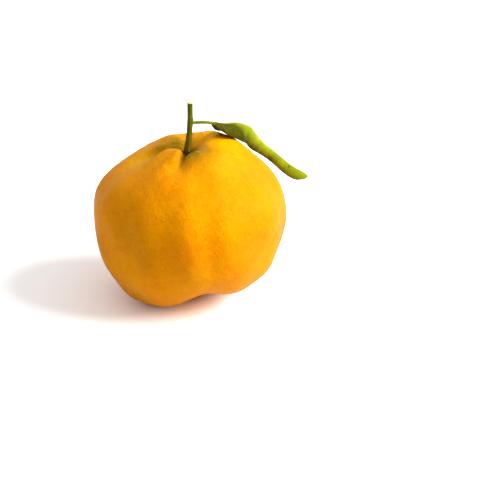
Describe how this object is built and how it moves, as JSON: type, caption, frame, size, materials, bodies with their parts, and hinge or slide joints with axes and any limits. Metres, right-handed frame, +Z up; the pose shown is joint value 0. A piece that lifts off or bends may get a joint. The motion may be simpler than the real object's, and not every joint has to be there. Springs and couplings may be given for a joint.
{
  "type": "mandarin",
  "caption": "Whole mandarin, slightly flattened and softly lobed, with creases round a hollow at the stem, a small calyx, a short cut stem and one curled leaf on its stalk.",
  "frame": {"origin": "centre of the small flat spot under the base, where the fruit rests", "axes": "+Z up along the fruit's axis to the stem; +X towards the leaf"},
  "size_m": [0.0723, 0.0663, 0.0691],
  "materials": {
    "peel": "waxy satin, finely pored",
    "calyx": "matt",
    "stem": "matt",
    "leaf": "satin"
  },
  "bodies": {
    "root": {"fruit": "peel", "calyx": "calyx", "stem": "stem", "leaf": "leaf"}
  },
  "joints": []
}
